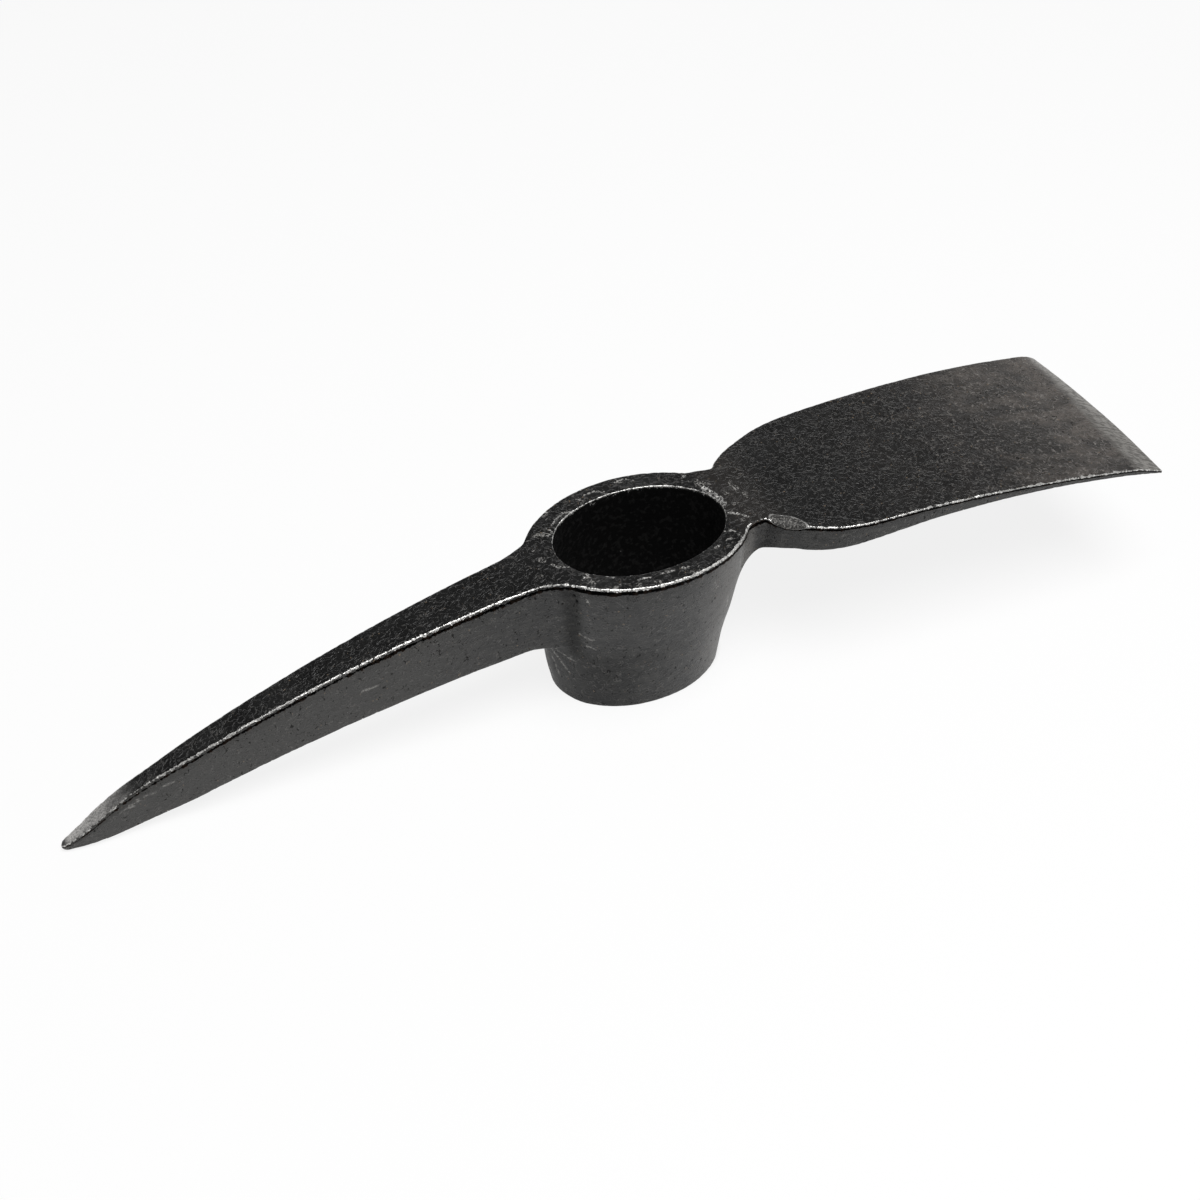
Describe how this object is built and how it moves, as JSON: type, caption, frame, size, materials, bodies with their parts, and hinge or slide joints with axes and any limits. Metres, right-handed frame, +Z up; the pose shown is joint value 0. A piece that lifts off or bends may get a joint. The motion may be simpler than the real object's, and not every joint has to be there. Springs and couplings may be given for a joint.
{
  "type": "pick mattock head",
  "caption": "Steel digging head with a tapered oval handle eye, a long pointed pick on one side and a broad flat mattock blade on the other.",
  "frame": {"origin": "middle of the handle eye's wide rim, projected down to the plane that the narrow foot of the eye stands on", "axes": "+X towards the mattock blade, +Y across the head, +Z up out of the wide end of the eye"},
  "size_m": [0.4516, 0.0888, 0.0686],
  "materials": {
    "forged_black": "semi-gloss black lacquer over forge scale, rubbed bright on the edges",
    "worn_steel": "ground steel, dull, with streaks along the tool"
  },
  "bodies": {
    "root": {"eye_socket": "forged_black", "pick_arm": "forged_black", "pick_point": "worn_steel", "mattock_blade": "forged_black", "cutting_edge": "worn_steel"}
  },
  "joints": []
}
